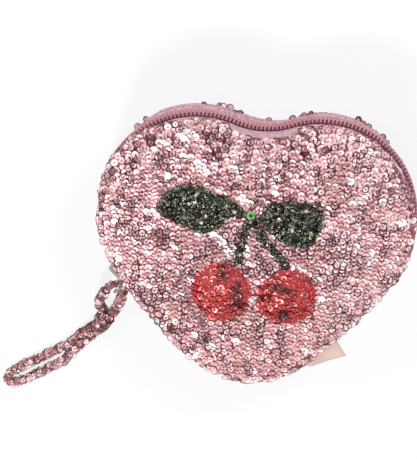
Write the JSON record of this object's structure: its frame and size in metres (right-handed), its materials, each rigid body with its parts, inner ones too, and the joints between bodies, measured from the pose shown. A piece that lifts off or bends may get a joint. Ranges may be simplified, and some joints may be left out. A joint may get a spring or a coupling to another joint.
{
  "type": "heart shaped purse",
  "caption": "Padded heart shaped coin purse with a coil zip round its lobes, a ring and a corded loop as the pull, and a pair of cherries on the front",
  "frame": {"origin": "on the resting face of the back, under the middle of the heart", "axes": "+X to the right across the heart, +Y from the tip towards the notch, +Z out of the front face, up from the table"},
  "size_m": [0.1582, 0.1215, 0.0376],
  "materials": {
    "pink_sequins": "cup sequins sewn in rows on foam backed fabric",
    "lining": "smooth woven lining",
    "zip_tape": "ribbed woven tape",
    "zip_coil": "monofilament coil",
    "nickel": "warm nickel plating",
    "pink_cord": "knitted cord with sequins",
    "green_sequins": "overlapping sequins",
    "light_green_sequin": "faceted sequin",
    "red_sequins": "overlapping sequins",
    "label": "plain satin ribbon"
  },
  "bodies": {
    "purse": {"back_panel": "pink_sequins", "back_lining": "lining", "gusset_lower": "pink_sequins", "gusset_lining": "lining", "front_panel_lower": "pink_sequins", "front_lining_lower": "lining", "zip_tape_back": "zip_tape", "zip_coil_back": "zip_coil", "zip_top_stop_back": "nickel", "zip_top_stop_front": "nickel", "zip_bottom_stop": "nickel", "care_label": "label"},
    "front_flap": {"front_panel_upper": "pink_sequins", "front_lining_upper": "lining", "zip_tape_front": "zip_tape", "zip_coil_front": "zip_coil", "leaf_left": "green_sequins", "leaf_right": "green_sequins", "stem_left": "green_sequins", "stem_right": "green_sequins", "stem_sequin": "light_green_sequin", "cherry_left": "red_sequins", "cherry_right": "red_sequins"},
    "slider": {"slider_body": "nickel", "slider_bridge": "nickel"},
    "ring": {"jump_ring": "nickel"},
    "strap": {"strap_eye": "pink_cord", "strap_binding": "pink_cord", "strap_cord": "pink_cord"}
  },
  "joints": [
    {"name": "slider_travel", "type": "hinge", "parent": "purse", "child": "slider", "pos_m": [-0.02325, 0.01425, 0.0174], "axis": [0, 0, -1], "range_deg": [0, 145], "deforming": ["zip_coil_back", "zip_coil_front"]},
    {"name": "ring_swing", "type": "hinge", "parent": "slider", "child": "ring", "pos_m": [-0.05237, -0.01539, 0.0174], "axis": [-0.7133, 0.7009, 0], "range_deg": [0, 75]},
    {"name": "strap_swing", "type": "hinge", "parent": "ring", "child": "strap", "pos_m": [-0.05224, -0.0222, 0.0134], "axis": [0, 0, 1], "range_deg": [-40, 40]},
    {"name": "mouth_open", "type": "hinge", "parent": "purse", "child": "front_flap", "pos_m": [0, -0.028, 0.0357], "axis": [1, 0, 0], "range_deg": [0, 35], "deforming": ["zip_tape_front", "zip_coil_front"]}
  ]
}
